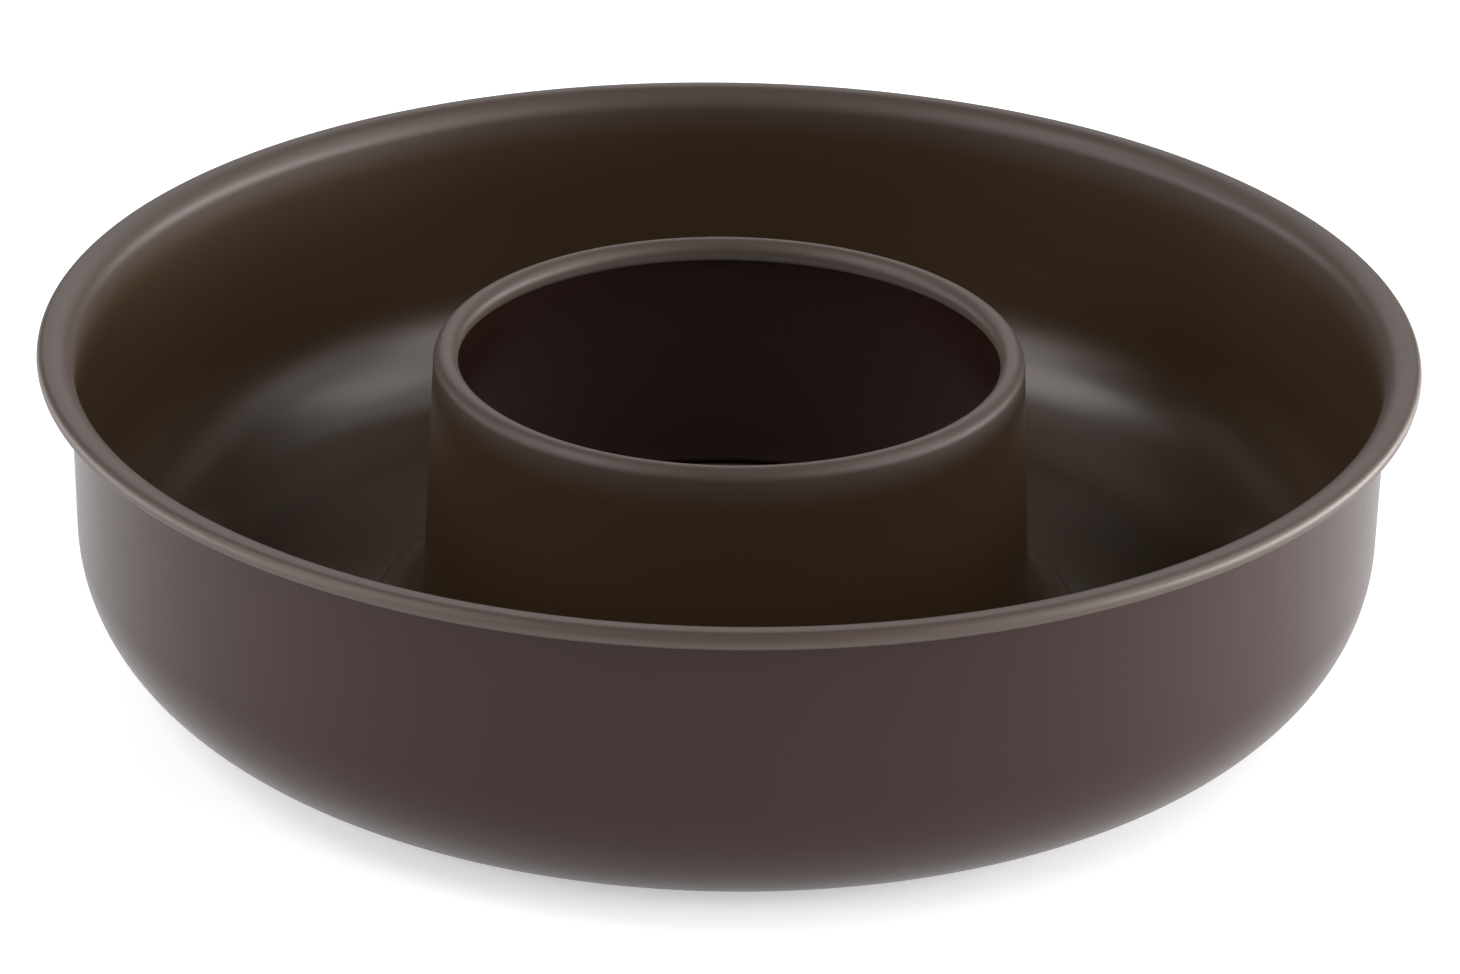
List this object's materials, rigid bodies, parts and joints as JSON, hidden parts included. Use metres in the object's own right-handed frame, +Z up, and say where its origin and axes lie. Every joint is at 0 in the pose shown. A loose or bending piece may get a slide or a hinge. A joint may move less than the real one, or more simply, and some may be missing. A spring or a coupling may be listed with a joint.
{
  "type": "savarin mould",
  "caption": "Ring-shaped baking mould of dark coated sheet steel, with a rolled rim, rounded bottom corner and an open centre tube with a rolled lip.",
  "frame": {"origin": "on the table, under the centre of the ring", "axes": "+Z up along the axis of the ring; +X and +Y are any two square directions, as the mould is round"},
  "size_m": [0.25, 0.25, 0.0612],
  "materials": {
    "coated_sheet": "satin brown non-stick coat, olive brown on the food side and reddish brown outside",
    "bead_wire": "plain drawn steel wire, hidden in the rolled edges"
  },
  "bodies": {
    "root": {"ring_pan": "coated_sheet", "centre_tube": "coated_sheet", "rim_wire": "bead_wire", "lip_wire": "bead_wire"}
  },
  "joints": []
}
